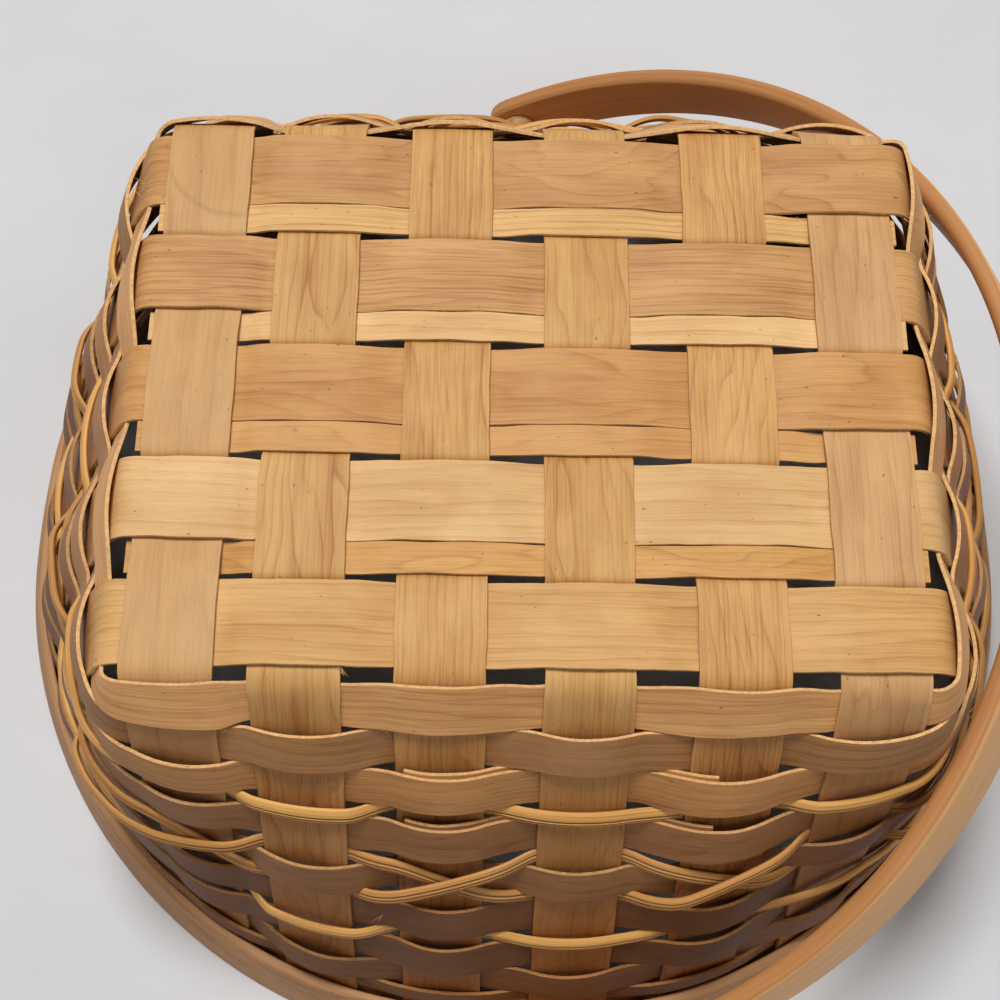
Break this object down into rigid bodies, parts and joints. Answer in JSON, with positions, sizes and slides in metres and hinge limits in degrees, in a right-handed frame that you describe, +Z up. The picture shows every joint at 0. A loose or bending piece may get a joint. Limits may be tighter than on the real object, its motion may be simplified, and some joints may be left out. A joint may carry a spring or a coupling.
{
  "type": "pie basket",
  "caption": "Woven splint pie basket with rectangular floor, round hooped rim and bent-wood swing handle; shown turned over, resting on its rim.",
  "frame": {"origin": "on the surface it stands on, at the middle of the round rim", "axes": "+Z up, out of the floor's outer face, because the basket is shown turned over; +X towards the folded handle; Y along the handle's axle. For use it is turned half a turn about X"},
  "size_m": [0.3622, 0.3796, 0.1435],
  "materials": {
    "pale_stake": "bare smooth honey splint",
    "warm_stake": "bare smooth warm splint",
    "straw_filler": "bare straw-yellow splint",
    "weaver": "bare splint with fibrous cut edges",
    "golden_reed": "golden split reed with fine grooves",
    "rim": "smooth reddish-brown hoop",
    "handle_wood": "smooth bent wood with a soft sheen",
    "rivet_steel": "plain steel"
  },
  "bodies": {
    "basket": {"cross_stake_1": "pale_stake", "cross_stake_2": "pale_stake", "cross_stake_3": "pale_stake", "cross_stake_4": "pale_stake", "cross_stake_5": "pale_stake", "cross_stake_6": "pale_stake", "long_stake_1": "warm_stake", "long_stake_2": "warm_stake", "long_stake_3": "warm_stake", "long_stake_4": "warm_stake", "long_stake_5": "warm_stake", "floor_filler_1": "straw_filler", "floor_filler_2": "straw_filler", "floor_filler_3": "straw_filler", "floor_filler_4": "straw_filler", "weaver_row_1": "weaver", "weaver_row_2": "weaver", "weaver_row_3": "weaver", "weaver_row_4": "weaver", "weaver_row_5": "weaver", "weaver_row_6": "weaver", "weaver_row_7": "weaver", "weaver_row_8": "weaver", "weaver_row_9": "weaver", "reed_row_1": "golden_reed", "reed_row_2": "golden_reed", "cross_reed_1": "golden_reed", "cross_reed_2": "golden_reed", "inner_rim_hoop": "rim", "outer_rim_hoop": "rim", "handle_boss_near": "handle_wood", "handle_boss_far": "handle_wood", "handle_rivet_near": "rivet_steel", "handle_rivet_far": "rivet_steel"},
    "handle": {"swing_handle": "handle_wood"}
  },
  "joints": [
    {"name": "handle_swing", "type": "hinge", "parent": "basket", "child": "handle", "pos_m": [0, 0, 0.013], "axis": [0, 1, 0], "range_deg": [0, 242]}
  ]
}
